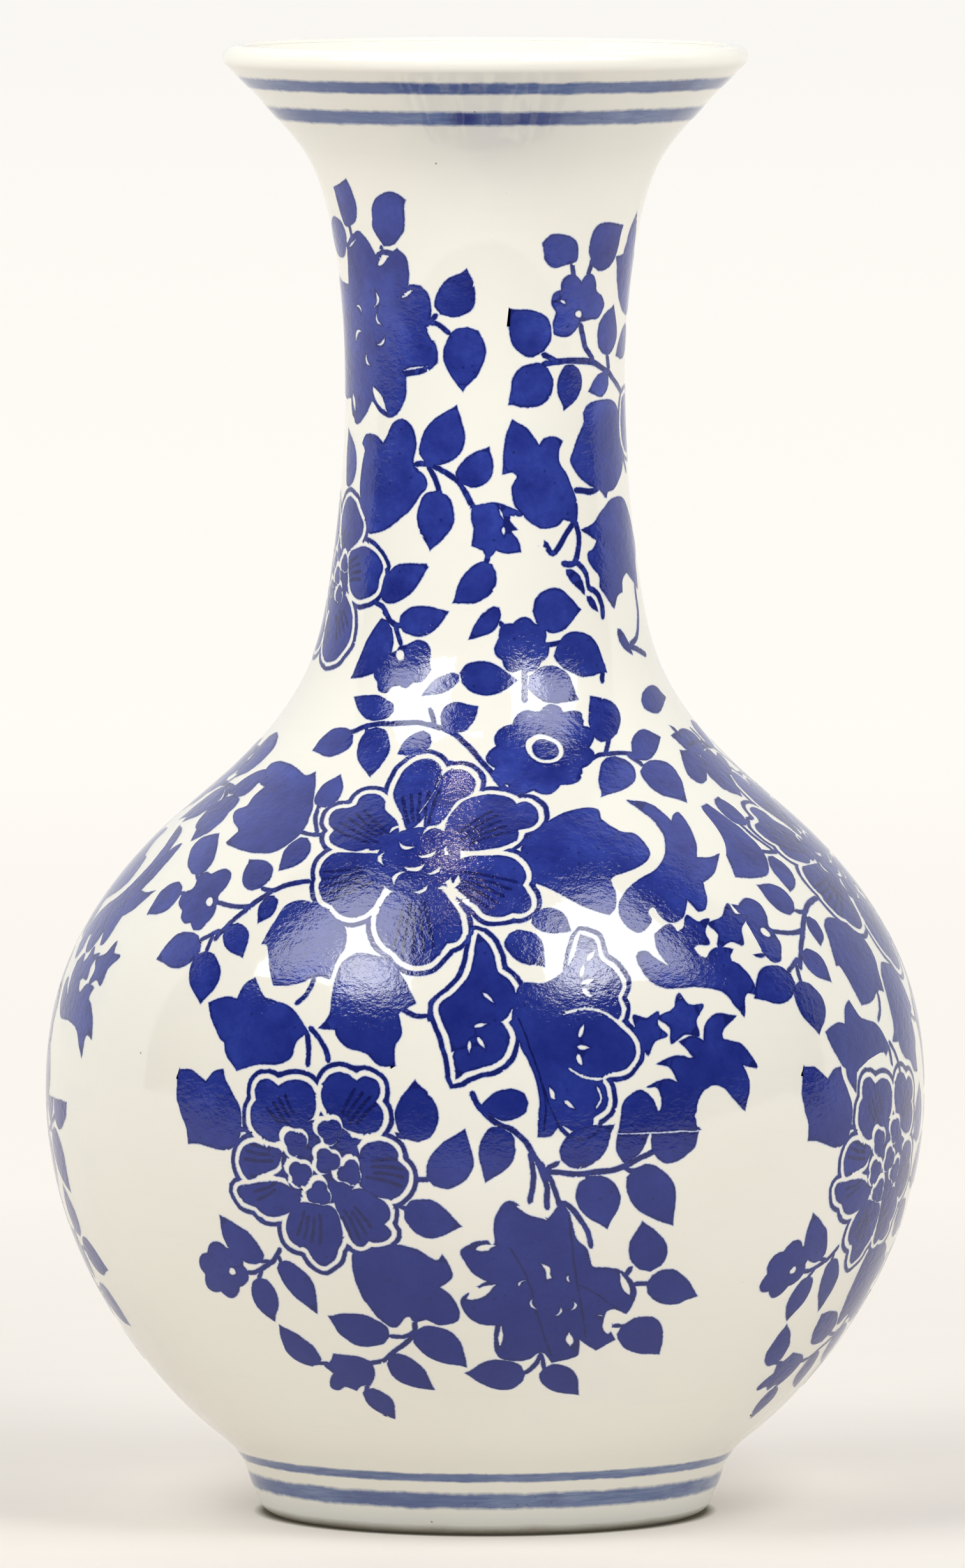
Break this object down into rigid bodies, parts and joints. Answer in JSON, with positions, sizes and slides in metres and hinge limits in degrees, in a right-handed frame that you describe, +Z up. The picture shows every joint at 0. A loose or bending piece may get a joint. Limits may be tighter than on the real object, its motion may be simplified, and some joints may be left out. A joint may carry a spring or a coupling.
{
  "type": "porcelain vase",
  "caption": "Bottle vase in white glazed porcelain with a round body, tall waisted neck and flared mouth, painted with blue lines and covered in blue floral transfers.",
  "frame": {"origin": "centre of the standing ring, on the surface that the vase stands on", "axes": "+Z up the vase's axis towards the mouth; -Y is the side that faces the viewer"},
  "size_m": [0.2036, 0.2036, 0.34],
  "materials": {
    "white_glaze": "glossy clear glaze over off-white porcelain",
    "foot_glaze": "glossy, slightly blue-green where the glaze is thick, wiped thin at the standing edge",
    "painted_cobalt": "washed hand-painted blue under glossy glaze",
    "printed_cobalt": "dense printed cobalt blue under glossy, slightly rippled glaze"
  },
  "bodies": {
    "root": {"foot_ring": "foot_glaze", "lower_body": "white_glaze", "upper_body": "white_glaze", "neck": "white_glaze", "mouth_rim": "white_glaze", "foot_line_lower": "painted_cobalt", "foot_line_upper": "painted_cobalt", "mouth_line_lower": "painted_cobalt", "mouth_line_upper": "painted_cobalt", "body_transfer_1": "printed_cobalt", "body_transfer_2": "printed_cobalt", "body_transfer_3": "printed_cobalt", "body_transfer_4": "printed_cobalt", "neck_transfer_1": "printed_cobalt", "neck_transfer_2": "printed_cobalt", "neck_transfer_3": "printed_cobalt"}
  },
  "joints": []
}
